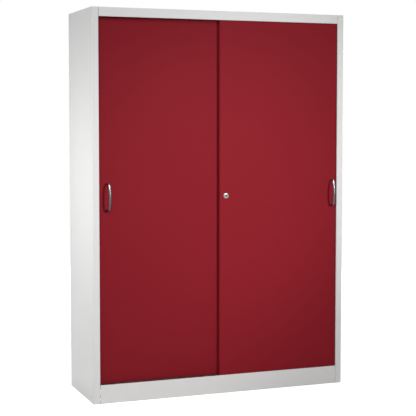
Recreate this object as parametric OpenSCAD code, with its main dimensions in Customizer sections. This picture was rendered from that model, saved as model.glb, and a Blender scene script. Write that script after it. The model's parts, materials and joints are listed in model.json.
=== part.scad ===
// Two-leaf sliding-door steel storage cabinet, in millimetres.
// +Z is up, the front faces -Y, and the origin is on the floor at the middle of the overall box.

/* [Body] */
// Overall width of the body
body_w = 1200; // [1000:10:1500]
// Depth of the body from the stile faces to the back
body_d = 400; // [360:5:600]
// Overall height
body_h = 1715; // [1400:5:2000]
// Sheet thickness of body, doors and shelves
sheet_t = 1; // [0.8:0.1:1.5]
// Inside radius of the sheet bends
bend_r = 2; // [1:0.25:2.5]
// Width of the stiles and of the rear flanges of the side panels
stile_w = 30; // [28:1:40]
// Depth of the returns folded behind stile, header and plinth
fold_back = 8.5; // [8:0.5:14]
// Length of the lip folded behind each stile
stile_lip = 18; // [8:1:20]
// Length of the lips folded behind header and plinth
fold_lip = 8; // [7:0.5:10]
// Height of the header face
header_h = 40; // [36:1:60]
// Height of the plinth face
plinth_h = 82; // [78:1:120]
// Depth of the plinth's return on the floor
plinth_foot = 20; // [12:1:30]
// Height of the roof's down-turned side and rear flanges
roof_flange = 25; // [15:1:30]
// Gap at the seams beside header and plinth
seam = 0.8; // [0.4:0.1:1.5]
// Drop of the cabinet floor below the plinth's upper edge
floor_drop = 2; // [0:0.5:6]
// Height of the floor's front lip and rear flange
floor_flange = 10; // [8:1:14]
// Distance of the wall-fixing holes from the side faces
wall_hole_in = 150; // [60:5:300]
// Distance of the wall-fixing holes below the top
wall_hole_down = 60; // [45:1:120]
// Diameter of the wall-fixing holes
wall_hole_d = 9; // [6:0.5:12]

/* [Doors] */
// Thickness of a door leaf
door_t = 16; // [15:0.5:22]
// Clear space between the front leaf and the folded returns
door_front_gap = 1.5; // [1:0.25:4]
// Clear space between the two leaves
leaf_gap = 6; // [6:0.25:10]
// Distance of the left leaf's outer edge from the left side face
left_door_set = 27; // [10:0.5:28]
// Distance of the right leaf's outer edge from the right side face
right_door_set = 8; // [6:0.5:24]
// Overlap of the closed leaves
door_overlap = 37; // [34:0.5:80]
// Reach of the leaves above the header's lower edge
door_top_cover = 12; // [8:0.5:16]
// Reach of the leaves below the plinth's upper edge
door_foot_cover = 0.5; // [0:0.5:12]
// Lip folded in at the back of the leaf's edges
door_lip = 14; // [8:0.5:16]
// Width of the stiffener's crown
stiffener_w = 60; // [30:1:120]
// Width of the stiffener's glued flanges
stiffener_flange = 14; // [8:1:30]
// Distance of the stiffener from the leaf's top and bottom
stiffener_end = 40; // [20:1:120]
// Diameter of the rubber end buffers
buffer_d = 13; // [8:0.5:15]
// Height of the lower buffers above the floor
buffer_low = 240; // [150:5:400]
// Distance of the upper buffers below the top
buffer_high = 260; // [120:5:400]

/* [Running gear] */
// Width of the base of a running rail
rail_w = 14; // [8:0.5:16]
// Thickness of the base of a running rail
rail_base = 2; // [1:0.25:3]
// Overall height of a running rail
rail_h = 9; // [8:0.25:12]
// Width of the rounded rib that the rollers run on
rib_w = 3; // [2:0.25:4]
// Gap between the leaf's lower edge and the rib
rail_gap = 7.5; // [5:0.25:8]
// Radius of the roller at the bottom of its groove
tread_r = 12; // [11.5:0.25:13]
// Height of the roller's flanges above the groove
roller_rim = 3; // [2:0.25:3.5]
// Width of a roller
roller_w = 9; // [8:0.25:9.5]
// Axle diameter
axle_d = 5; // [4:0.5:6]
// Thickness of a roller bracket
bracket_t = 1.5; // [1:0.25:1.75]
// Length of a roller bracket
bracket_len = 44; // [36:1:70]
// Distance of rollers and guides from the leaf's side edges
roller_in = 90; // [60:1:150]
// Sheet thickness of the upper guide
guide_t = 1.5; // [1:0.25:2]
// Bend radius of the upper guide
guide_r = 1; // [0.5:0.25:1.5]
// Width of the sliding guide blocks
block_w = 8; // [6:0.25:9]
// Length of the sliding guide blocks
block_len = 40; // [20:1:60]
// Room to lift a leaf off its rail
lift_room = 9.5; // [9.5:0.25:12]

/* [Handles] */
// Distance between the two fixing screws
handle_pitch = 116; // [64:1:192]
// Reach of the bow in front of the leaf
handle_out = 44; // [42:0.5:50]
// Diameter of the bow's bar
handle_d = 9; // [8:0.5:12]
// Centre-line radius of the elbows above the feet
handle_bend_r = 16; // [8:0.5:20]
// Rise of the bow's middle above its elbows
handle_rise = 9; // [1:0.25:10]
// Angle at which the bow leans towards the leaf's middle
handle_lean = 8; // [0:1:12]
// Distance of the handle from the leaf's outer edge
handle_in = 44; // [40:0.5:80]
// Height of the handle's middle above the floor
handle_z = 898; // [700:1:1100]
// Diameter of the handle screws
handle_screw_d = 4; // [3:0.5:5]

/* [Lock] */
// Distance of the lock from the right leaf's inner edge
lock_in = 29; // [27:0.5:60]
// Height of the lock above the floor
lock_z = 894; // [700:1:1100]
// Diameter of the rosette
rosette_d = 26; // [24:0.5:34]
// Thickness of the rosette
rosette_t = 4; // [2:0.25:6]
// Diameter of the lock barrel
barrel_d = 18; // [17:0.5:20]
// Diameter of the turning plug
plug_d = 14; // [11:0.5:14.5]
// Width of the keyway
keyway_w = 2; // [1:0.25:3]
// Height of the keyway
keyway_h = 8.5; // [6:0.25:9.5]
// Depth of the keyway
keyway_depth = 9; // [5:0.5:10]
// Angle of the keyway from upright, with the lock open
keyway_tilt = -45; // [-90:5:90]
// Width of the cam
cam_w = 10; // [9:0.5:12]
// Reach of the cam from the plug's axis
cam_reach = 26; // [20:0.5:34]
// Thickness of the cam
cam_t = 2; // [1.5:0.25:2.25]
// Width of the striker's flange on the left leaf
striker_w = 16; // [8:0.5:20]
// Height of the striker's stop leg
striker_h = 18; // [10:1:20]

/* [Shelves] */
// Distance of the shelves behind the rear leaf
shelf_set = 12; // [8:1:40]
// Height of the shelves' folded edges
shelf_edge = 30; // [20:1:40]
// Return folded under the shelf's edges
shelf_return = 12; // [8:0.5:20]
// Depth of the uprights' crown from the side panel
upright_d = 11; // [8:0.5:16]
// Width inside the uprights' crown
upright_w = 26; // [20:1:40]
// Width of the uprights' welded lips
upright_lip = 10; // [6:0.5:16]
// Distance of the uprights' middle from the shelf's front and rear edges
upright_in = 40; // [36:1:80]
// Pitch of the slots
slot_pitch = 50; // [25:1:80]
// Height of a slot
slot_h = 14; // [12:0.5:18]
// Width of a slot
slot_w = 4; // [3:0.25:6]
// Thickness of a shelf clip
clip_t = 1.5; // [1:0.25:2.5]
// Width of a shelf clip
clip_w = 16; // [10:0.5:22]
// Reach of a clip's ledge under the shelf
clip_ledge = 14; // [8:0.5:20]

/* [Feet] */
// Diameter of a levelling foot's pad
foot_d = 32; // [24:1:40]
// Thickness of the pad
foot_t = 8; // [5:0.5:10]
// Diameter of the foot's threaded stem
stem_d = 10; // [8:0.5:12]
// Length of the stem above the pad
stem_len = 38; // [36:1:40]
// Height of the foot brackets' plates above the floor
bracket_z = 22; // [18:0.5:23]
// Thickness of the foot brackets
foot_plate_t = 2; // [1.5:0.25:3]
// Size of the foot brackets' plates
foot_plate = 44; // [40:1:60]
// Height of the foot brackets' welded legs
foot_leg = 20; // [10:1:24]
// Width across flats of the weld nuts
nut_af = 17; // [15:0.5:19]
// Height of the weld nuts
nut_h = 8; // [5:0.5:9]

/* [Hidden] */
$fn = 48;
running_fit = 0.05;
roll_gap = 0.3;
seat_gap = 0.3;
guide_play = 0.4;
slip = 0.5;
hair = 0.01;
through = 1;
shelf_total = 4;
roller_room = 2;
roller_side = 1;
guide_gap = 3;
buffer_round = 2;
shelf_end_gap = 1;
shelf_back_gap = 6;
upright_gap = 2;
foot_gap = 4;
foot_side_gap = 6;
foot_rest = 0.4;
cam_gap = 2;
cam_screw_d = 4;
cam_screw_len = 6;
spindle_d = 8;
spindle_af = 6;
striker_gap = 1.5;
striker_drop = 5;
cam_clear = 1;
bar_sides = 16;
elbow_cuts = 5;
arch_cuts = 14;

body_paint = [0.84, 0.85, 0.85];
door_paint = [0.53, 0.12, 0.15];
zinc = [0.72, 0.74, 0.76];
satin_steel = [0.66, 0.68, 0.7];
nylon = [0.9, 0.9, 0.86];
black_rubber = [0.1, 0.1, 0.1];

// Depths are counted back from the stile faces, and every piece is then set to the common origin
front_leaf_y = fold_back + door_front_gap;
rear_leaf_y = front_leaf_y + door_t + leaf_gap;
lane_back_y = rear_leaf_y + door_t;
front_reach = max(0, handle_out - front_leaf_y);
stile_y = (front_reach - body_d) / 2;

inner_w = body_w - 2 * stile_w;
face_w = inner_w - 2 * seam;
web_x = body_w / 2 - sheet_t;
roof_z = body_h - sheet_t;
back_y = body_d - 2 * sheet_t;

door_w = (body_w - left_door_set - right_door_set + door_overlap) / 2;
left_leaf_x = left_door_set - body_w / 2;
right_leaf_x = body_w / 2 - right_door_set - door_w;
leaf_bottom = plinth_h - door_foot_cover;
leaf_top = body_h - header_h + door_top_cover;
leaf_h = leaf_top - leaf_bottom;

rail_top = leaf_bottom - rail_gap;
tray_top = rail_top - rail_h;
axle_z = rail_top + roll_gap + tread_r;
rim_r = tread_r + roller_rim;
bracket_w = door_t - 2 * sheet_t - slip;
bracket_top = axle_z + rim_r + roller_room + bracket_t;
floor_top = plinth_h - floor_drop;

guide_w = block_w + 2 * guide_play;
guide_bottom = leaf_top + guide_gap;
guide_fin = roof_z - guide_t - guide_bottom;
block_h = roof_z - guide_t - lift_room - leaf_top;

shelf_front_y = lane_back_y + shelf_set;
shelf_back_y = back_y - shelf_back_gap;
crown_x = web_x - upright_d - sheet_t;
shelf_w = 2 * (crown_x - clip_t - shelf_end_gap);
upright_top = roof_z - roof_flange - upright_gap;
upright_h = upright_top - floor_top;
slot_total = floor(upright_h / slot_pitch) - 1;

lock_x = right_leaf_x + lock_in;
plug_r = plug_d / 2;
cam_y = front_leaf_y + door_t + cam_gap;

foot_y = plinth_foot + foot_d / 2 + foot_gap;
foot_x = web_x - foot_side_gap - foot_plate / 2;
foot_rows = [foot_y, back_y - foot_y];

// Length that a bend takes from a leg: the full outside on a left turn, the inside on a right turn
function bend_trim(turn, t, r) = turn > 0 ? r + t : r;

// Height of the hook slot and of the clip ledge that carry shelf number i
function slot_z(k) = floor_top + slot_pitch * (k + 0.5);
function shelf_slot(i) = round(i * (slot_total + 1) / (shelf_total + 1)) - 1;
function ledge_z(i) = slot_z(shelf_slot(i));

module set_to_origin() {
    translate([0, stile_y, 0]) children();
}

module quarter_ring(t, r) {
    intersection() {
        difference() {
            circle(r + t);
            circle(r);
        }
        square(r + t);
    }
}

// A folded strip of sheet, drawn leg by leg from the origin along +X with its thickness to the left.
// The leg lengths run along its right-hand face, corner to corner; 1 turns left and -1 right.
module folded(legs, turns, t = sheet_t, r = bend_r, i = 0) {
    first = i == 0 ? 0 : bend_trim(turns[i - 1], t, r);
    last = i == len(turns) ? 0 : bend_trim(turns[i], t, r);
    run = legs[i] - first - last;
    square([run, t]);
    if (i < len(turns)) {
        if (turns[i] > 0) {
            translate([run, t + r]) rotate(-90) quarter_ring(t, r);
            translate([run + r + t, t + r]) rotate(90) folded(legs, turns, t, r, i + 1);
        } else {
            translate([run, -r]) quarter_ring(t, r);
            translate([run + r, -r]) rotate(-90) folded(legs, turns, t, r, i + 1);
        }
    }
}

// Extrudes a side view, drawn as depth and height, across the width
module across(w) {
    rotate([90, 0, 90]) linear_extrude(w, center = true) children();
}

// Turns a shape made about Z so that its axis runs back along +Y
module facing_back() {
    rotate([-90, 0, 0]) children();
}

// Body

module side_panel() {
    color(body_paint) set_to_origin()
        linear_extrude(roof_z)
            translate([stile_w - body_w / 2, body_d]) rotate(180)
                folded([stile_w, body_d, stile_w, fold_back, stile_lip], [1, 1, 1, 1]);
}

module left_side_panel() {
    side_panel();
}

module right_side_panel() {
    mirror([1, 0, 0]) side_panel();
}

module top_panel() {
    flange_len = back_y - bend_r - fold_back - slip;
    color(body_paint) set_to_origin() {
        across(face_w)
            translate([body_d, body_h - roof_flange]) rotate(90)
                folded([roof_flange, body_d, header_h, fold_back, fold_lip], [1, 1, 1, 1]);
        for (side = [0, 1]) mirror([side, 0, 0]) {
            translate([face_w / 2 - hair, 0, roof_z])
                cube([(body_w - face_w) / 2 + hair, body_d, sheet_t]);
            translate([web_x - sheet_t, fold_back + slip, body_h - roof_flange])
                cube([sheet_t, flange_len, roof_flange]);
        }
    }
}

module back_panel() {
    hole_x = body_w / 2 - wall_hole_in;
    back_w = 2 * (web_x - bend_r);
    color(body_paint) set_to_origin() difference() {
        translate([-back_w / 2, back_y, 0]) cube([back_w, sheet_t, roof_z - bend_r]);
        for (side = [-1, 1])
            translate([side * hole_x, back_y - sheet_t, body_h - wall_hole_down])
                facing_back() cylinder(d = wall_hole_d, h = 3 * sheet_t);
    }
}

// Track tray at the front, riser, and the cabinet's floor behind it
module floor_panel() {
    tray_z = tray_top - sheet_t;
    riser_y = lane_back_y + shelf_set / 2;
    deck_z = floor_top - sheet_t;
    corner = [stile_w + seam, fold_back + slip, floor_top];
    color(body_paint) set_to_origin() difference() {
        across(2 * web_x)
            translate([sheet_t, tray_z + floor_flange]) rotate(-90)
                folded([floor_flange, riser_y - sheet_t, deck_z - tray_z, back_y - sheet_t - riser_y,
                    floor_flange], [1, 1, -1, -1]);
        for (side = [0, 1]) mirror([side, 0, 0]) {
            translate([body_w / 2 - corner.x, 0, tray_z - through]) cube(corner);
            translate([web_x - bend_r, back_y - bend_r, 0]) cube([corner.x, corner.y, floor_top + through]);
        }
    }
}

module plinth_front() {
    color(body_paint) set_to_origin()
        across(face_w)
            translate([fold_back, plinth_h - fold_lip]) rotate(90)
                folded([fold_lip, fold_back, plinth_h, plinth_foot], [1, 1, 1]);
}

// Door guidance

module upper_guide_rail() {
    lane_pitch = rear_leaf_y - front_leaf_y;
    color(zinc) set_to_origin()
        across(2 * web_x - 2 * slip - 2 * sheet_t)
            translate([front_leaf_y + door_t / 2 - guide_w / 2, guide_bottom]) rotate(90)
                folded([guide_fin, guide_w, guide_fin, lane_pitch - guide_w, guide_fin, guide_w, guide_fin],
                    [-1, -1, 1, 1, -1, -1], guide_t, guide_r);
}

module running_rail(leaf_y) {
    color(zinc) set_to_origin()
        across(2 * web_x - 2 * slip)
            translate([leaf_y + door_t / 2, tray_top]) {
                translate([-rail_w / 2, 0]) square([rail_w, rail_base]);
                translate([-rib_w / 2, 0]) square([rib_w, rail_h - rib_w / 2]);
                translate([0, rail_h - rib_w / 2]) circle(d = rib_w);
            }
}

module front_running_rail() {
    running_rail(front_leaf_y);
}

module rear_running_rail() {
    running_rail(rear_leaf_y);
}

// Domed rubber buffer on the left side panel, ending just short of the closed leaf
module buffer_pair(leaf_y, set) {
    reach = set - sheet_t - seat_gap;
    dome = min(buffer_round, reach / 2);
    color(black_rubber) set_to_origin()
        for (z = [buffer_low, body_h - buffer_high])
            translate([-web_x, leaf_y + door_t / 2, z]) rotate([0, 90, 0])
                rotate_extrude()
                    intersection() {
                        union() {
                            square([buffer_d / 2, reach - dome]);
                            square([buffer_d / 2 - dome, reach]);
                            translate([buffer_d / 2 - dome, reach - dome]) circle(dome);
                        }
                        square([buffer_d / 2, reach]);
                    }
}

module left_buffers() {
    buffer_pair(rear_leaf_y, left_door_set);
}

module right_buffers() {
    mirror([1, 0, 0]) buffer_pair(front_leaf_y, right_door_set);
}

// Shelving

// Slotted hat-shaped upright on the left side panel
module upright(mid_y) {
    color(body_paint) set_to_origin() difference() {
        translate([-web_x, mid_y + upright_w / 2 + upright_lip, floor_top]) rotate([0, 0, -90])
            linear_extrude(upright_h)
                folded([upright_lip, upright_d, upright_w, upright_d, upright_lip], [1, -1, -1, 1]);
        for (k = [0 : slot_total - 1])
            translate([-crown_x - 2 * sheet_t, mid_y - slot_w / 2, slot_z(k)])
                cube([3 * sheet_t, slot_w, slot_h]);
    }
}

module front_left_upright() {
    upright(shelf_front_y + upright_in);
}

module rear_left_upright() {
    upright(shelf_back_y - upright_in);
}

module front_right_upright() {
    mirror([1, 0, 0]) upright(shelf_front_y + upright_in);
}

module rear_right_upright() {
    mirror([1, 0, 0]) upright(shelf_back_y - upright_in);
}

// Shelf tray with boxed front and rear edges and plain end flanges
module shelf(i) {
    depth = shelf_back_y - shelf_front_y;
    color(body_paint) set_to_origin() translate([0, shelf_front_y, ledge_z(i)]) {
        across(shelf_w)
            translate([depth - shelf_return, 0])
                folded([shelf_return, shelf_edge, depth, shelf_edge, shelf_return], [1, 1, 1, 1]);
        for (side = [0, 1]) mirror([side, 0, 0])
            translate([shelf_w / 2 - sheet_t, shelf_return, 0])
                cube([sheet_t, depth - 2 * shelf_return, shelf_edge - sheet_t / 2]);
    }
}

module shelf_1() {
    shelf(1);
}

module shelf_2() {
    shelf(2);
}

module shelf_3() {
    shelf(3);
}

module shelf_4() {
    shelf(4);
}

// Clip on the crown of a left upright: a back plate, a ledge under the shelf and a hook in the slot
module shelf_clip() {
    plate_over = 4;
    hook_drop = 3;
    hook_w = slot_w - slip;
    translate([0, -clip_w / 2, -clip_t]) {
        cube([clip_t, clip_w, slot_h + plate_over]);
        cube([clip_ledge, clip_w, clip_t]);
    }
    translate([-sheet_t - clip_t - slip, -hook_w / 2, slip]) {
        cube([sheet_t + clip_t + slip + hair, hook_w, slot_h / 2]);
        translate([0, 0, -slip - hook_drop]) cube([clip_t, hook_w, slot_h / 2]);
    }
}

module shelf_clips() {
    color(zinc) set_to_origin()
        for (side = [0, 1]) mirror([side, 0, 0])
            for (y = [shelf_front_y + upright_in, shelf_back_y - upright_in])
                for (i = [1 : shelf_total])
                    translate([-crown_x, y, ledge_z(i)]) shelf_clip();
}

// Levelling feet

// Angle brackets on the side panels, each with the hole for a foot's stem
module foot_brackets() {
    leg = foot_leg + foot_plate_t;
    plate_len = web_x - foot_x + foot_plate / 2;
    color(zinc) set_to_origin()
        for (side = [0, 1]) mirror([side, 0, 0])
            for (y = foot_rows)
                difference() {
                    translate([-web_x, y, bracket_z + leg]) rotate([90, 0, 0])
                        linear_extrude(foot_plate, center = true)
                            rotate(-90) folded([leg, plate_len], [1], foot_plate_t);
                    translate([-foot_x, y, bracket_z - through])
                        cylinder(d = stem_d + 2 * slip, h = foot_plate_t + 2 * through);
                }
}

module foot_nuts() {
    color(zinc) set_to_origin()
        for (side = [-1, 1])
            for (y = foot_rows)
                translate([side * foot_x, y, bracket_z + foot_plate_t])
                    difference() {
                        cylinder(d = nut_af / cos(30), h = nut_h, $fn = 6);
                        translate([0, 0, -through])
                            cylinder(d = stem_d + 2 * running_fit, h = nut_h + 2 * through);
                    }
}

// Screw foot with a tapered pad and a slot at the top of its stem, screwed right in
module screw_foot(side, y) {
    pad_r = foot_d / 2;
    pad_edge = 1;
    slot_d = 2.5;
    color(zinc) set_to_origin() translate([side * foot_x, y, foot_rest]) {
        rotate_extrude()
            polygon([[0, 0], [pad_r - pad_edge, 0], [pad_r, pad_edge], [pad_r, foot_t / 2],
                [stem_d / 2 + pad_edge, foot_t], [0, foot_t]]);
        difference() {
            cylinder(d = stem_d, h = foot_t + stem_len);
            translate([-stem_d, -slot_d / 2, foot_t + stem_len - slot_d])
                cube([2 * stem_d, slot_d, slot_d + through]);
        }
    }
}

module front_left_foot() {
    screw_foot(-1, foot_rows[0]);
}

module front_right_foot() {
    screw_foot(1, foot_rows[0]);
}

module rear_left_foot() {
    screw_foot(-1, foot_rows[1]);
}

module rear_right_foot() {
    screw_foot(1, foot_rows[1]);
}

// Door leaves: x0 is a leaf's left edge, leaf_y its face, and toward is 1 with its outer edge on the right

function roller_xs(x0) = [x0 + roller_in, x0 + door_w - roller_in];
function handle_x(x0, toward) = toward > 0 ? x0 + door_w - handle_in : x0 + handle_in;

module door_skin(x0, leaf_y, toward) {
    corner = bend_r + sheet_t;
    drill = sheet_t + 2 * through;
    mouth = [2 * (rim_r + roller_room), roller_w + 2 * roller_side, drill];
    color(door_paint) set_to_origin() difference() {
        translate([x0, leaf_y, leaf_bottom]) {
            linear_extrude(leaf_h)
                translate([door_lip, door_t]) rotate(180)
                    folded([door_lip, door_t, door_w, door_t, door_lip], [1, 1, 1, 1]);
            for (z = [0, leaf_h - sheet_t])
                translate([corner, sheet_t / 2, z])
                    cube([door_w - 2 * corner, door_t - sheet_t / 2, sheet_t]);
        }
        for (x = roller_xs(x0))
            translate([x - mouth.x / 2, leaf_y + door_t / 2 - mouth.y / 2, leaf_bottom - through])
                cube(mouth);
        for (side = [-1, 1])
            translate([handle_x(x0, toward), leaf_y - through, handle_z + side * handle_pitch / 2])
                facing_back() cylinder(d = handle_screw_d + slip, h = drill);
        if (toward > 0)
            translate([lock_x, leaf_y - through, lock_z])
                facing_back() cylinder(d = barrel_d + 2 * running_fit, h = drill);
    }
}

module door_stiffener(x0, leaf_y) {
    depth = door_t - 3 * sheet_t;
    run = stiffener_w + 2 * stiffener_flange;
    color(door_paint) set_to_origin()
        translate([x0 + door_w / 2 - run / 2, leaf_y + sheet_t, leaf_bottom + stiffener_end])
            linear_extrude(leaf_h - 2 * stiffener_end)
                folded([stiffener_flange, depth, stiffener_w, depth, stiffener_flange], [1, -1, -1, 1]);
}

// Nylon blocks with round ends that slide in the upper guide
module door_guides(x0, leaf_y) {
    color(nylon) set_to_origin()
        for (x = roller_xs(x0))
            translate([x, leaf_y + door_t / 2, leaf_top])
                linear_extrude(block_h) {
                    square([block_len - block_w, block_w], center = true);
                    for (side = [-1, 1])
                        translate([side * (block_len - block_w) / 2, 0]) circle(d = block_w);
                }
}

// Bracket bent over a roller, standing on the leaf's lower edge
module roller_bracket(x, leaf_y) {
    cheek = bracket_top - leaf_bottom - sheet_t;
    mid_y = leaf_y + door_t / 2;
    color(zinc) set_to_origin() difference() {
        translate([x, 0, 0]) across(bracket_len)
            translate([mid_y + bracket_w / 2, leaf_bottom + sheet_t]) rotate(90)
                folded([cheek, bracket_w, cheek], [1, 1], bracket_t, bracket_t);
        translate([x, mid_y - bracket_w, axle_z])
            facing_back() cylinder(d = axle_d, h = 2 * bracket_w);
    }
}

// Axle riveted into the bracket, with a flat head behind
module axle(x, leaf_y) {
    head_t = 0.8;
    head_rim = 1.2;
    color(satin_steel) set_to_origin()
        translate([x, leaf_y + door_t / 2 - bracket_w / 2, axle_z]) facing_back() {
            cylinder(d = axle_d, h = bracket_w + head_t);
            translate([0, 0, bracket_w]) cylinder(d = axle_d + 2 * head_rim, h = head_t);
        }
}

// Grooved nylon roller: the round groove rides the rail's rib
module roller(x, leaf_y) {
    groove_r = rib_w / 2 + slip;
    flange_edge = 1.2;
    flare = roller_w / 2 - flange_edge;
    beyond = rim_r + through;
    groove_mid = tread_r + groove_r;
    color(nylon) set_to_origin()
        translate([x, leaf_y + door_t / 2, axle_z]) facing_back()
            rotate_extrude()
                difference() {
                    translate([axle_d / 2 + running_fit, -roller_w / 2])
                        square([rim_r - axle_d / 2 - running_fit, roller_w]);
                    translate([groove_mid, 0]) circle(groove_r);
                    polygon([[groove_mid, -groove_r], [beyond, -flare], [beyond, flare],
                        [groove_mid, groove_r]]);
                }
}

// Cuts along a bend of the bow's centre line: height, distance from the leaf, bearing of the bend's radius
function bend_cuts(mid, r, from, to, count) =
    [for (i = [1 : count]) let (b = from + (to - from) * i / count)
        [mid.x + r * cos(b), mid.y + r * sin(b), b]];

// Bow handle: a round bar swept from foot to foot over two elbows and an arch, with blind screw holes.
// Its lean shifts every cut sideways by its distance from the leaf, so the feet stay flat on the leaf.
module handle(x0, leaf_y, toward) {
    half = handle_pitch / 2;
    bar_r = handle_d / 2;
    reach = handle_out - bar_r;
    elbow = [half - handle_bend_r, reach - handle_bend_r - handle_rise];
    tilt = 2 * atan(handle_rise / elbow.x);
    arch_r = handle_bend_r + elbow.x / sin(tilt);
    arch = [0, reach - arch_r];
    slant = -toward * tan(handle_lean);
    cuts = concat([[half, 0, 0], [half, elbow.y, 0]],
        bend_cuts(elbow, handle_bend_r, 0, 90 - tilt, elbow_cuts),
        bend_cuts(arch, arch_r, 90 - tilt, 90 + tilt, arch_cuts),
        bend_cuts([-elbow.x, elbow.y], handle_bend_r, 90 + tilt, 180, elbow_cuts),
        [[-half, 0, 180]]);
    rings = [for (c = cuts) for (k = [0 : bar_sides - 1])
        let (a = 360 * k / bar_sides, side = bar_r * cos(a), out = c.y + side * sin(c.z))
        [bar_r * sin(a) + slant * out, -out, c.x + side * cos(c.z)]];
    last = (len(cuts) - 1) * bar_sides;
    walls = [for (i = [0 : bar_sides : last - 1]) for (k = [0 : bar_sides - 1])
        let (p = i + k, q = i + (k + 1) % bar_sides)
        each [[p, q + bar_sides, q], [p, p + bar_sides, q + bar_sides]]];
    ends = [[for (k = [0 : bar_sides - 1]) k], [for (k = [bar_sides - 1 : -1 : 0]) last + k]];
    bore = 2 * handle_screw_d;
    color(satin_steel) set_to_origin()
        translate([handle_x(x0, toward), leaf_y, handle_z])
            difference() {
                polyhedron(rings, concat(walls, ends));
                for (side = [-1, 1])
                    translate([0, through, side * half]) rotate([90, 0, 0])
                        cylinder(d = handle_screw_d + 2 * running_fit, h = bore + through);
            }
}

// Pan-head screws from inside the leaf into the handle's feet
module handle_screws(x0, leaf_y, toward) {
    head_d = 2 * handle_screw_d;
    head_h = 0.6 * handle_screw_d;
    bite = 1.5 * handle_screw_d;
    color(zinc) set_to_origin()
        for (side = [-1, 1])
            translate([handle_x(x0, toward), leaf_y + sheet_t, handle_z + side * handle_pitch / 2]) {
                facing_back() cylinder(d = head_d, h = head_h);
                rotate([90, 0, 0]) cylinder(d = handle_screw_d, h = bite);
            }
}

module left_door_skin() {
    door_skin(left_leaf_x, rear_leaf_y, -1);
}

module right_door_skin() {
    door_skin(right_leaf_x, front_leaf_y, 1);
}

module left_door_stiffener() {
    door_stiffener(left_leaf_x, rear_leaf_y);
}

module right_door_stiffener() {
    door_stiffener(right_leaf_x, front_leaf_y);
}

module left_door_guides() {
    door_guides(left_leaf_x, rear_leaf_y);
}

module right_door_guides() {
    door_guides(right_leaf_x, front_leaf_y);
}

module left_outer_roller_bracket() {
    roller_bracket(roller_xs(left_leaf_x)[0], rear_leaf_y);
}

module left_inner_roller_bracket() {
    roller_bracket(roller_xs(left_leaf_x)[1], rear_leaf_y);
}

module right_inner_roller_bracket() {
    roller_bracket(roller_xs(right_leaf_x)[0], front_leaf_y);
}

module right_outer_roller_bracket() {
    roller_bracket(roller_xs(right_leaf_x)[1], front_leaf_y);
}

module left_outer_axle() {
    axle(roller_xs(left_leaf_x)[0], rear_leaf_y);
}

module left_inner_axle() {
    axle(roller_xs(left_leaf_x)[1], rear_leaf_y);
}

module right_inner_axle() {
    axle(roller_xs(right_leaf_x)[0], front_leaf_y);
}

module right_outer_axle() {
    axle(roller_xs(right_leaf_x)[1], front_leaf_y);
}

module left_outer_roller() {
    roller(roller_xs(left_leaf_x)[0], rear_leaf_y);
}

module left_inner_roller() {
    roller(roller_xs(left_leaf_x)[1], rear_leaf_y);
}

module right_inner_roller() {
    roller(roller_xs(right_leaf_x)[0], front_leaf_y);
}

module right_outer_roller() {
    roller(roller_xs(right_leaf_x)[1], front_leaf_y);
}

module left_handle() {
    handle(left_leaf_x, rear_leaf_y, -1);
}

module right_handle() {
    handle(right_leaf_x, front_leaf_y, 1);
}

module left_handle_screws() {
    handle_screws(left_leaf_x, rear_leaf_y, -1);
}

module right_handle_screws() {
    handle_screws(right_leaf_x, front_leaf_y, 1);
}

// Lock: its axis runs back through the right leaf, and its cam turns in the space between the leaves

module at_lock(y) {
    set_to_origin() translate([lock_x, y, lock_z]) facing_back() children();
}

module lock_housing() {
    end_gap = 2;
    back = door_t - end_gap;
    rim = 1;
    rosette_r = rosette_d / 2;
    barrel_r = barrel_d / 2;
    color(satin_steel) at_lock(front_leaf_y)
        rotate_extrude()
            difference() {
                polygon([[0, -rosette_t], [rosette_r - 2 * rim, -rosette_t], [rosette_r, -rim],
                    [rosette_r, 0], [barrel_r, 0], [barrel_r, back], [0, back]]);
                translate([-through, -rosette_t - through])
                    square([through + plug_r + running_fit, back + rosette_t + 2 * through]);
            }
}

module lock_nut() {
    thick = 4;
    wall = 3;
    flats = barrel_d + 2 * wall;
    color(zinc) at_lock(front_leaf_y + sheet_t)
        difference() {
            cylinder(d = flats / cos(30), h = thick, $fn = 6);
            translate([0, 0, -through]) cylinder(d = barrel_d + 2 * running_fit, h = thick + 2 * through);
        }
}

// Turning plug with its keyway, and a spindle with two flats for the cam
module lock_plug() {
    proud = 1;
    face = rosette_t + proud;
    shoulder = cam_y - front_leaf_y;
    tip = shoulder + cam_t;
    tapped = cam_t + cam_screw_len;
    color(satin_steel) at_lock(front_leaf_y)
        difference() {
            union() {
                translate([0, 0, -face]) cylinder(r = plug_r, h = face + shoulder);
                intersection() {
                    cylinder(d = spindle_d, h = tip);
                    translate([-spindle_d, -spindle_af / 2, 0]) cube([2 * spindle_d, spindle_af, tip]);
                }
            }
            translate([0, 0, -face - hair]) rotate(keyway_tilt)
                translate([-keyway_w / 2, -keyway_h / 2, 0])
                    cube([keyway_w, keyway_h, keyway_depth]);
            translate([0, 0, tip - tapped]) cylinder(d = cam_screw_d, h = tapped + through);
        }
}

// Tongue that points sideways when open and swings down into the striker
module lock_cam() {
    collar = 3;
    color(zinc) at_lock(cam_y)
        linear_extrude(cam_t)
            difference() {
                union() {
                    circle(d = spindle_d + 2 * collar);
                    translate([0, -cam_w / 2]) square([cam_reach - cam_w / 2, cam_w]);
                    translate([cam_reach - cam_w / 2, 0]) circle(d = cam_w);
                }
                intersection() {
                    circle(d = spindle_d + 2 * running_fit);
                    square([2 * spindle_d, spindle_af + 2 * running_fit], center = true);
                }
            }
}

module cam_screw() {
    head_t = 1.4;
    color(zinc) at_lock(cam_y + cam_t) {
        cylinder(d = spindle_d, h = head_t);
        translate([0, 0, -cam_screw_len]) cylinder(d = cam_screw_d, h = cam_screw_len + hair);
    }
}

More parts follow.
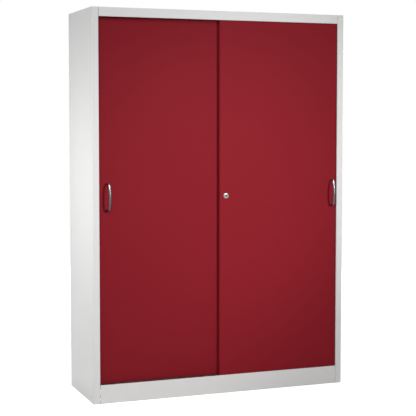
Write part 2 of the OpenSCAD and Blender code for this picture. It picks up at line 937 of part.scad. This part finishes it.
// Angle on the left leaf, its leg standing beside the lowered cam
module lock_striker() {
    stand = leaf_gap - striker_gap;
    top = lock_z - cam_w / 2 - striker_drop;
    color(zinc) set_to_origin()
        translate([lock_x - cam_w / 2 - cam_clear, rear_leaf_y - stand, top - striker_h])
            linear_extrude(striker_h)
                rotate(90) folded([stand, striker_w], [1], sheet_t, sheet_t / 2);
}

left_side_panel();
right_side_panel();
top_panel();
back_panel();
floor_panel();
plinth_front();
upper_guide_rail();
front_running_rail();
rear_running_rail();
left_buffers();
right_buffers();
front_left_upright();
rear_left_upright();
front_right_upright();
rear_right_upright();
shelf_1();
shelf_2();
shelf_3();
shelf_4();
shelf_clips();
foot_brackets();
foot_nuts();
front_left_foot();
front_right_foot();
rear_left_foot();
rear_right_foot();
left_door_skin();
left_door_stiffener();
left_door_guides();
left_outer_roller_bracket();
left_inner_roller_bracket();
left_outer_axle();
left_inner_axle();
left_outer_roller();
left_inner_roller();
left_handle();
left_handle_screws();
lock_striker();
right_door_skin();
right_door_stiffener();
right_door_guides();
right_outer_roller_bracket();
right_inner_roller_bracket();
right_outer_axle();
right_inner_axle();
right_outer_roller();
right_inner_roller();
right_handle();
right_handle_screws();
lock_housing();
lock_nut();
lock_plug();
lock_cam();
cam_screw();
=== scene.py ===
import json
import math

import bmesh
import bpy
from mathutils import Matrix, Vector


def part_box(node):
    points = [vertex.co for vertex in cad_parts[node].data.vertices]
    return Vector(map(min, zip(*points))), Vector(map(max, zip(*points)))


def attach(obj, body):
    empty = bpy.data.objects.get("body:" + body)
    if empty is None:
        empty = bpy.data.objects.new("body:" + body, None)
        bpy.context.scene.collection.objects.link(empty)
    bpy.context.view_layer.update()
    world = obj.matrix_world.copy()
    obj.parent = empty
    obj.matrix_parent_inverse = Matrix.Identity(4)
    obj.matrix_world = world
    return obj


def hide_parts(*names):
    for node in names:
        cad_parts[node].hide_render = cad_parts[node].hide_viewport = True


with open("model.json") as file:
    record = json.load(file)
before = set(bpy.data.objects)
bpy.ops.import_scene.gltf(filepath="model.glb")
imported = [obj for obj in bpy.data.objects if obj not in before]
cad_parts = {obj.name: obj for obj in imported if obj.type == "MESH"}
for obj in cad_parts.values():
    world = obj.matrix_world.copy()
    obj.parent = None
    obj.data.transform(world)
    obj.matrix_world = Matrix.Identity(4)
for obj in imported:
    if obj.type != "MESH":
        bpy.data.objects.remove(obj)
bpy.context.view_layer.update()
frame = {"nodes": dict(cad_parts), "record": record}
scene = bpy.context.scene
scene.view_settings.view_transform = "Standard"


# Node trees

class Wire:
    # one output socket of a node tree; arithmetic on it adds Math nodes
    def __init__(self, tree, socket=None):
        self.tree = tree
        self.socket = socket

    def node(self, kind, settings=None, inputs=None, out=0):
        made = self.tree.nodes.new(kind)
        for name, value in (settings or {}).items():
            setattr(made, name, value)
        for key, value in (inputs or {}).items():
            if isinstance(value, Wire):
                self.tree.links.new(value.socket, made.inputs[key])
            else:
                made.inputs[key].default_value = value
        return Wire(self.tree, made.outputs[out]) if made.outputs else None

    def math(self, operation, first, second=0.0):
        return self.node("ShaderNodeMath", {"operation": operation}, {0: first, 1: second})

    def __add__(self, other):
        return self.math("ADD", self, other)

    def __radd__(self, other):
        return self.math("ADD", other, self)

    def __sub__(self, other):
        return self.math("SUBTRACT", self, other)

    def __rsub__(self, other):
        return self.math("SUBTRACT", other, self)

    def __mul__(self, other):
        return self.math("MULTIPLY", self, other)

    def __rmul__(self, other):
        return self.math("MULTIPLY", other, self)

    def __pow__(self, other):
        return self.math("POWER", self, other)

    def __rpow__(self, other):
        return self.math("POWER", other, self)

    def sine(self):
        return self.math("SINE", self)

    def most(self, other):
        return self.math("MAXIMUM", self, other)

    def swing(self, span):
        # a noise of 0 to 1, turned into a change up and down from zero
        return (self - 0.5) * span

    def blend(self, first, second):
        # self is the share of the second colour; 6, 7 and 2 are the Mix node's colour sockets
        return self.node("ShaderNodeMix", {"data_type": "RGBA"}, {0: self, 6: first, 7: second}, out=2)


def colour(red, green, blue):
    return (red, green, blue, 1.0)


class Finish:
    # a new material: its tree, its object coordinates, and the shader that close() makes
    def __init__(self, name):
        self.material = bpy.data.materials.new(name)
        self.material.use_nodes = True
        tree = self.material.node_tree
        tree.nodes.clear()
        self.start = Wire(tree)
        self.place = self.start.node("ShaderNodeTexCoord", out="Object")

    def axis(self, letter):
        return self.start.node("ShaderNodeSeparateXYZ", None, {0: self.place}, out=letter)

    def stretched(self, scale):
        inputs = {0: self.place, 1: scale}
        return self.start.node("ShaderNodeVectorMath", {"operation": "MULTIPLY"}, inputs)

    def noise(self, scale, detail, vector=None):
        inputs = {"Vector": vector or self.place, "Scale": scale, "Detail": detail}
        return self.start.node("ShaderNodeTexNoise", None, inputs)

    def bump(self, height, depth):
        inputs = {"Height": height, "Distance": depth, "Strength": 1.0}
        return self.start.node("ShaderNodeBump", None, inputs)

    def close(self, inputs):
        shader = self.start.node("ShaderNodeBsdfPrincipled", None, inputs)
        self.start.node("ShaderNodeOutputMaterial", None, {"Surface": shader})
        print("finish:", self.material.name)
        return self.material


# Finishes: what ends in Gloss is how far the roughness swings, depths are in metres

powderGrain = {                 # of both powder coats
    "cloudsPerMetre": 2.6,
    "flecksPerMetre": 1900.0,
    "fleckShare": 0.3,          # of the mottling, the clouds being the rest
    "cloudGloss": 0.06,
    "fleckGloss": 0.08,
    "peelPerMetre": 620.0,      # orange peel
    "peelDepth": 0.00006,
}

bodyPaint = {
    **powderGrain,
    "colour": colour(0.785, 0.785, 0.778),
    "shade": colour(0.750, 0.750, 0.743),
    "roughness": 0.46,
    "specular": 0.35,
}

doorPaint = {
    **powderGrain,
    "colour": colour(0.240, 0.0126, 0.0204),
    "shade": colour(0.228, 0.0118, 0.0191),
    "roughness": 0.55,
    "specular": 0.04,
}


def powderCoat(name, look):
    finish = Finish(name)
    cloud = finish.noise(look["cloudsPerMetre"], detail=3.0)
    fleck = finish.noise(look["flecksPerMetre"], detail=1.0)
    peel = finish.noise(look["peelPerMetre"], detail=2.5)
    mottle = cloud * (1 - look["fleckShare"]) + fleck * look["fleckShare"]
    gloss = cloud.swing(look["cloudGloss"]) + fleck.swing(look["fleckGloss"])
    return finish.close({
        "Base Color": mottle.blend(look["colour"], look["shade"]),
        "Roughness": look["roughness"] + gloss,
        "Specular IOR Level": look["specular"],
        "Normal": finish.bump(peel, look["peelDepth"]),
    })


zincPlate = {
    "bright": colour(0.62, 0.64, 0.66),
    "dull": colour(0.46, 0.48, 0.50),
    "roughness": 0.34,
    "spanglesPerMetre": 140.0,
    "spangleGloss": 0.18,
    "rollMarksPerMetre": 60.0,
    "rollStretch": (1.0, 12.0, 12.0),   # the sheet is rolled along X
    "rollShare": 0.3,                   # of the mottling, the spangle being the rest
    "rollDepth": 0.00003,
}


def spangledZinc(name, look):
    finish = Finish(name)
    inputs = {"Vector": finish.place, "Scale": look["spanglesPerMetre"]}
    crystals = finish.start.node("ShaderNodeTexVoronoi", None, inputs, out="Color")
    spangle = finish.start.node("ShaderNodeSeparateColor", None, {0: crystals}, out="Red")
    along = finish.stretched(look["rollStretch"])
    rolled = finish.noise(look["rollMarksPerMetre"], detail=4.0, vector=along)
    mottle = spangle * (1 - look["rollShare"]) + rolled * look["rollShare"]
    return finish.close({
        "Base Color": mottle.blend(look["dull"], look["bright"]),
        "Roughness": look["roughness"] + spangle.swing(look["spangleGloss"]),
        "Metallic": 1.0,
        "Normal": finish.bump(rolled, look["rollDepth"]),
    })


satinHandle = {
    "bright": colour(0.098, 0.130, 0.137),
    "dull": colour(0.055, 0.077, 0.080),
    "roughness": 0.33,
    "linesPerMetre": 900.0,
    "lineStretch": (1.0, 1.0, 0.03),    # brushed up and down
    "lineGloss": 0.16,
    "lineDepth": 0.00002,
    "wearPerMetre": 45.0,
    "wearShare": 0.4,                   # of the mottling, the lines being the rest
}


def brushedSatin(name, look):
    finish = Finish(name)
    along = finish.stretched(look["lineStretch"])
    lines = finish.noise(look["linesPerMetre"], detail=3.0, vector=along)
    wear = finish.noise(look["wearPerMetre"], detail=3.0)
    mottle = lines * (1 - look["wearShare"]) + wear * look["wearShare"]
    return finish.close({
        "Base Color": mottle.blend(look["dull"], look["bright"]),
        "Roughness": look["roughness"] + lines.swing(look["lineGloss"]),
        "Metallic": 1.0,
        "Normal": finish.bump(lines, look["lineDepth"]),
    })


turningMarks = {                # of both nickel finishes
    "ringsPerMetre": 1800.0,    # round the lock's axis
    "ringShare": 0.35,          # of the mottling, the smears being the rest
    "ringDepth": 0.00001,
    "smearsPerMetre": 260.0,
    "smearGloss": 0.12,
}

lockNickel = {
    **turningMarks,
    "bright": colour(0.43, 0.43, 0.39),
    "dull": colour(0.25, 0.255, 0.23),
    "roughness": 0.22,
}

plugNickel = {                  # the lock nickel painted darker: painted shade in the lock's middle
    **turningMarks,
    "bright": colour(0.19, 0.20, 0.18),
    "dull": colour(0.105, 0.115, 0.10),
    "roughness": 0.30,
}


def turnedNickel(name, look):
    finish = Finish(name)
    low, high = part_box("lock_housing")
    middle = (low + high) / 2
    across = finish.axis("X") - middle.x
    up = finish.axis("Z") - middle.z
    radius = (across * across + up * up) ** 0.5
    rings = (radius * (2 * math.pi * look["ringsPerMetre"])).sine() * 0.5 + 0.5     # 0 to 1
    smear = finish.noise(look["smearsPerMetre"], detail=3.0)
    mottle = rings * look["ringShare"] + smear * (1 - look["ringShare"])
    return finish.close({
        "Base Color": mottle.blend(look["dull"], look["bright"]),
        "Roughness": look["roughness"] + smear.swing(look["smearGloss"]),
        "Metallic": 1.0,
        "Normal": finish.bump(rings, look["ringDepth"]),
    })


mouldGrain = {                  # of both nylons
    "flowPerMetre": 130.0,
    "flowGloss": 0.2,
    "grainPerMetre": 1500.0,
    "grainDepth": 0.00003,
}

whiteNylon = {
    **mouldGrain,
    "colour": colour(0.80, 0.79, 0.74),
    "shade": colour(0.70, 0.69, 0.63),
    "roughness": 0.48,
}

rollerNylon = {                 # the same moulding, painted dark grey: painted shade in the gap under the leaves
    **mouldGrain,
    "colour": colour(0.17, 0.165, 0.15),
    "shade": colour(0.10, 0.097, 0.088),
    "roughness": 0.40,
}


def mouldedNylon(name, look):
    finish = Finish(name)
    flow = finish.noise(look["flowPerMetre"], detail=4.0)
    grain = finish.noise(look["grainPerMetre"], detail=2.0)
    return finish.close({
        "Base Color": flow.blend(look["colour"], look["shade"]),
        "Roughness": look["roughness"] + flow.swing(look["flowGloss"]),
        "Normal": finish.bump(grain, look["grainDepth"]),
    })


blackRubber = {
    "colour": colour(0.018, 0.018, 0.019),
    "bloom": colour(0.045, 0.045, 0.047),
    "roughness": 0.78,
    "specular": 0.3,
    "dustPerMetre": 420.0,
    "dustFocus": 3.0,           # higher keeps the bloom to fewer spots
    "dustGloss": 0.2,
    "dustDepth": 0.00006,
}


def dustyRubber(name, look):
    finish = Finish(name)
    dust = finish.noise(look["dustPerMetre"], detail=5.0)
    return finish.close({
        "Base Color": (dust ** look["dustFocus"]).blend(look["colour"], look["bloom"]),
        "Roughness": look["roughness"] + dust.swing(look["dustGloss"]),
        "Specular IOR Level": look["specular"],
        "Normal": finish.bump(dust, look["dustDepth"]),
    })


finishes = {
    "body_paint": powderCoat("lightGreyPowderCoat", bodyPaint),
    "door_paint": powderCoat("rubyRedPowderCoat", doorPaint),
    "zinc_plate": spangledZinc("spangledZinc", zincPlate),
    "satin_handle": brushedSatin("brushedSatinNickel", satinHandle),
    "lock_nickel": turnedNickel("turnedNickel", lockNickel),
    "white_nylon": mouldedNylon("mouldedNylon", whiteNylon),
    "black_rubber": dustyRubber("dustyRubber", blackRubber),
}
# the rollers' nylon painted dark: painted shade in the gap under the leaves
shadedRollerNylon = mouldedNylon("shadedRollerNylon", rollerNylon)
# the plug's nickel, painted darker as painted shade in the lock's middle
shadedPlugNickel = turnedNickel("shadedPlugNickel", plugNickel)
for subpart in frame["record"]["subparts"]:
    nodeObject = frame["nodes"][subpart["node"]]
    nodeObject.material_slots[0].material = finishes[subpart["material_slot"]]
# the rollers get the dark nylon: painted shade in the gap under the leaves
for roller in ("left_outer", "left_inner", "right_inner", "right_outer"):
    frame["nodes"][roller + "_roller"].material_slots[0].material = shadedRollerNylon
# the plug gets the darker nickel: painted shade in the lock's middle
frame["nodes"]["lock_plug"].material_slots[0].material = shadedPlugNickel


# Meshes made of rings

crispAngle = math.radians(50)   # edges that turn more than this stay crisp


def bridgeRings(mesh, ringA, ringB):
    sides = len(ringA)
    for k in range(sides):
        n = (k + 1) % sides
        mesh.faces.new((ringA[k], ringA[n], ringB[n], ringB[k]))


def smoothPiece(name, mesh, slot):
    bmesh.ops.recalc_face_normals(mesh, faces=mesh.faces)
    data = bpy.data.meshes.new(name)
    mesh.to_mesh(data)
    mesh.free()
    data.shade_smooth()
    data.set_sharp_from_angle(angle=crispAngle)
    data.materials.append(finishes[slot])
    piece = bpy.data.objects.new(name, data)
    scene.collection.objects.link(piece)
    return piece


# Bow handles

bowHandle = {
    "rise": 0.009,              # of the bow's middle beyond its elbows
    "elbowRadius": 0.016,
    "lean": 8.0,                # degrees towards the leaf's middle
    "waist": 0.92,              # bar's width at the feet, as a share of the middle's
    "flat": 0.90,               # the middle's thickness, as a share of its width
    "collar": 0.0009,           # swell of the foot where it meets the leaf
    "collarFade": 0.0012,       # about a third of the swell is left this far out
    "collarTop": 0.0026,        # little of it is left here, and the bar runs on plain
    "sides": 28,
    "elbowCuts": 9,
    "archCuts": 36,
}


def bendCuts(middle, radius, first, last, count):
    cuts = []
    for i in range(1, count + 1):
        bearing = first + (last - first) * i / count
        height = middle[0] + radius * math.cos(bearing)
        out = middle[1] + radius * math.sin(bearing)
        cuts.append((height, out, bearing))
    return cuts


def bowCuts(half, reach, look):
    # height from the bow's middle, distance from the leaf and bearing, from foot to foot
    elbowRadius = look["elbowRadius"]
    elbow = (half - elbowRadius, reach - elbowRadius - look["rise"])
    tilt = 2 * math.atan(look["rise"] / elbow[0])
    archRadius = elbowRadius + elbow[0] / math.sin(tilt)
    archStart = math.pi / 2 - tilt
    archEnd = math.pi / 2 + tilt
    foot = [0.0, look["collarFade"], look["collarTop"]]
    cuts = [(half, out, 0.0) for out in foot + [elbow[1]]]
    cuts += bendCuts(elbow, elbowRadius, 0.0, archStart, look["elbowCuts"])
    cuts += bendCuts((0.0, reach - archRadius), archRadius, archStart, archEnd, look["archCuts"])
    cuts += bendCuts((-elbow[0], elbow[1]), elbowRadius, archEnd, math.pi, look["elbowCuts"])
    cuts += [(-half, out, math.pi) for out in reversed(foot)]
    return cuts


def makeBow(node, body, outward, look):
    # outward is -1 or 1, the way in X to the leaf's edge beside the bow
    low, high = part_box(node)
    slant = -outward * math.tan(math.radians(look["lean"]))
    # the node's box is as wide as the bar and what its lean adds
    barRadius = (high.x - low.x - abs(slant) * (high.y - low.y)) / (2 - abs(slant))
    footX = high.x - barRadius if outward > 0 else low.x + barRadius
    middle = Vector((footX, high.y, (low.z + high.z) / 2))
    half = (high.z - low.z) / 2 - barRadius
    reach = (high.y - low.y) - barRadius
    mesh = bmesh.new()
    rings = []
    for height, out, bearing in bowCuts(half, reach, look):
        share = min(1.0, out / reach)
        swell = look["waist"] + (1 - look["waist"]) * share ** 2
        foot = look["collar"] * math.exp(-out / look["collarFade"])
        flat = 1 - (1 - look["flat"]) * share
        ring = []
        for k in range(look["sides"]):
            turn = 2 * math.pi * k / look["sides"]
            thick = (barRadius * swell * flat + foot) * math.cos(turn)
            wide = (barRadius * swell + foot) * math.sin(turn)
            reached = out + thick * math.sin(bearing)
            at = Vector((wide + slant * reached, -reached, height + thick * math.cos(bearing)))
            ring.append(mesh.verts.new(middle + at))
        rings.append(ring)
    for ringA, ringB in zip(rings, rings[1:]):
        bridgeRings(mesh, ringA, ringB)
    mesh.faces.new(reversed(rings[0]))
    mesh.faces.new(rings[-1])
    bow = smoothPiece(node + "_bow", mesh, "satin_handle")
    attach(bow, body)
    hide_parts(node)
    return bow


bows = bpy.data.collections.new("bowHandles")
for side, outward in (("left", -1), ("right", 1)):
    bows.objects.link(makeBow(side + "_handle", side + "_door", outward, bowHandle))
print("bow handles made")


# Lock rosette

lockRosette = {
    "edge": 0.0007,             # height of the straight rim on the leaf
    "barrelRadius": 0.009,
    "play": 0.00005,            # round the turning plug
    "crownCuts": 14,
    "sides": 72,
}


def rosetteProfile(rim, front, bore, back, look):
    # radius and distance in front of the leaf, once round the ring's section
    profile = [(look["barrelRadius"], -back), (bore, -back)]
    for i in range(look["crownCuts"] + 1):
        turn = math.pi / 2 * i / look["crownCuts"]
        crown = look["edge"] + (front - look["edge"]) * math.cos(turn)
        profile.append((bore + (rim - bore) * math.sin(turn), crown))
    return profile + [(rim, 0.0), (look["barrelRadius"], 0.0)]


def makeRosette(node, body, look):
    low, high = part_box(node)
    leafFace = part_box("right_door_skin")[0].y
    plugLow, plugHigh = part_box("lock_plug")
    middle = (low + high) / 2
    bore = (plugHigh.x - plugLow.x) / 2 + look["play"]
    profile = rosetteProfile((high.x - low.x) / 2, leafFace - low.y, bore, high.y - leafFace, look)
    mesh = bmesh.new()
    rings = []
    for radius, out in profile:
        ring = []
        for k in range(look["sides"]):
            turn = 2 * math.pi * k / look["sides"]
            x = middle.x + radius * math.cos(turn)
            z = middle.z + radius * math.sin(turn)
            ring.append(mesh.verts.new((x, leafFace - out, z)))
        rings.append(ring)
    for ringA, ringB in zip(rings, rings[1:] + rings[:1]):
        bridgeRings(mesh, ringA, ringB)
    rosette = smoothPiece("lock_rosette", mesh, "lock_nickel")
    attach(rosette, body)
    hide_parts(node)


makeRosette("lock_housing", "right_door", lockRosette)
print("lock rosette made")


# Studio

studio = {
    "ambient": 0.15,            # light from all round
    "background": 1.0,          # white where the camera looks past the object
    "floorSize": 16.0,
    "floorColour": colour(0.80, 0.80, 0.80),
    "floorGlow": 0.89,          # white added to what is seen of the floor
}

frontLeaf = bpy.data.collections.new("frontLeaf")
frontLeaf.objects.link(frame["nodes"]["right_door_skin"])
keyStand = {"at": (1.6, -4.4, 2.25), "radius": 0.12}
lamps = {                       # a cone in degrees makes a spot, a size in metres a soft box
    "keyBroad": {**keyStand, "aim": (-0.10, -0.18, 0.92), "watts": 254.0, "cone": 40.0},
    "keyHigh": {**keyStand, "aim": (0.20, -0.18, 1.05), "watts": 172.0, "cone": 22.0},
    "keyLow": {**keyStand, "aim": (-0.25, -0.18, 0.75), "watts": 236.0, "cone": 24.0},
    "handleBox": {              # white on the bows' upper bends
        "at": (0.2, -1.6, 3.2),
        "aim": (0.0, -0.20, 0.95),
        "watts": 700.0,
        "size": (4.4, 1.6),
        "onlyOn": bows,
    },
    "edgeStrip": {              # the front leaf's edge beside the divide
        "at": (-2.0, -0.45, 0.88),
        "aim": (0.0, -0.165, 0.88),
        "watts": 15.0,
        "size": (0.2, 1.8),
        "onlyOn": frontLeaf,
    },
    "fillBox": {"at": (-1.6, -3.0, 2.9), "aim": (-0.1, -0.18, 0.90), "watts": 40.0, "size": (1.2, 1.2)},
    "leftBox": {"at": (-1.5, -0.08, 0.98), "aim": (-0.6, -0.04, 0.98), "watts": 6.7, "size": (0.5, 0.5)},
    "roofBox": {"at": (0.2, 0.60, 3.8), "aim": (0.0, 0.05, 1.70), "watts": 20.0, "size": (0.8, 0.8)},
    "rightBox": {"at": (3.2, 0.40, 1.5), "aim": (0.6, 0.05, 0.85), "watts": 38.0, "size": (1.4, 1.4)},
    "backBox": {"at": (0.9, 4.0, 2.2), "aim": (0.0, 0.20, 0.85), "watts": 84.0, "size": (1.6, 1.6)},
}


def shownRays(start):
    # 1 for what the camera sees straight, mirrored or through glass
    seen = start.node("ShaderNodeLightPath", out="Is Camera Ray")
    for name in ("Is Glossy Ray", "Is Transmission Ray"):
        seen = seen.most(start.node("ShaderNodeLightPath", out=name))
    return seen


def makeWorld(look):
    world = bpy.data.worlds.new("studioWorld")
    world.use_nodes = True
    world.node_tree.nodes.clear()
    start = Wire(world.node_tree)
    white = colour(1.0, 1.0, 1.0)
    light = start.node("ShaderNodeBackground", None, {"Color": white, "Strength": look["ambient"]})
    shown = start.node("ShaderNodeBackground", None, {"Color": white, "Strength": look["background"]})
    mixed = start.node("ShaderNodeMixShader", None, {0: shownRays(start), 1: light, 2: shown})
    start.node("ShaderNodeOutputWorld", None, {"Surface": mixed})
    scene.world = world


def makeFloor(look):
    half = look["floorSize"] / 2
    data = bpy.data.meshes.new("studioFloor")
    corners = [(-half, -half, 0), (half, -half, 0), (half, half, 0), (-half, half, 0)]
    data.from_pydata(corners, [], [(0, 1, 2, 3)])
    material = bpy.data.materials.new("paleFloor")
    material.use_nodes = True
    material.node_tree.nodes.clear()
    start = Wire(material.node_tree)
    matt = start.node("ShaderNodeBsdfDiffuse", None, {"Color": look["floorColour"]})
    white = start.node("ShaderNodeEmission", None, {"Strength": look["floorGlow"]})
    both = start.node("ShaderNodeAddShader", None, {0: matt, 1: white})
    mixed = start.node("ShaderNodeMixShader", None, {0: shownRays(start), 1: matt, 2: both})
    start.node("ShaderNodeOutputMaterial", None, {"Surface": mixed})
    data.materials.append(material)
    floor = bpy.data.objects.new("studioFloor", data)
    scene.collection.objects.link(floor)


def makeLamp(name, look):
    data = bpy.data.lights.new(name, "SPOT" if "cone" in look else "AREA")
    data.energy = look["watts"]
    if "cone" in look:
        data.shadow_soft_size = look["radius"]
        data.spot_size = math.radians(look["cone"])
        data.spot_blend = 1.0
    else:
        data.shape = "RECTANGLE"
        data.size = look["size"][0]
        data.size_y = look["size"][1]
    lamp = bpy.data.objects.new(name, data)
    lamp.location = look["at"]
    facing = Vector(look["aim"]) - Vector(look["at"])
    lamp.rotation_euler = facing.to_track_quat("-Z", "Y").to_euler()
    if "onlyOn" in look:
        lamp.light_linking.receiver_collection = look["onlyOn"]
    scene.collection.objects.link(lamp)


makeWorld(studio)
makeFloor(studio)
for name, look in lamps.items():
    makeLamp(name, look)
print("studio lit")


# Camera

photoCamera = {
    "at": (-1.902, -4.975, 1.237),
    "yaw": 20.92,               # degrees to the right of straight on
    "pitch": -3.48,
    "sensor": 36.0,             # millimetres, as the lens
    "lens": 99.94,
    "shiftY": -0.045,
}


def makeCamera(look):
    data = bpy.data.cameras.new("photoCamera")
    data.sensor_width = look["sensor"]
    data.lens = look["lens"]
    data.shift_y = look["shiftY"]
    camera = bpy.data.objects.new("photoCamera", data)
    camera.location = look["at"]
    camera.rotation_euler = (math.radians(90 + look["pitch"]), 0.0, -math.radians(look["yaw"]))
    scene.collection.objects.link(camera)
    scene.camera = camera


makeCamera(photoCamera)
print("camera set")

print("done")
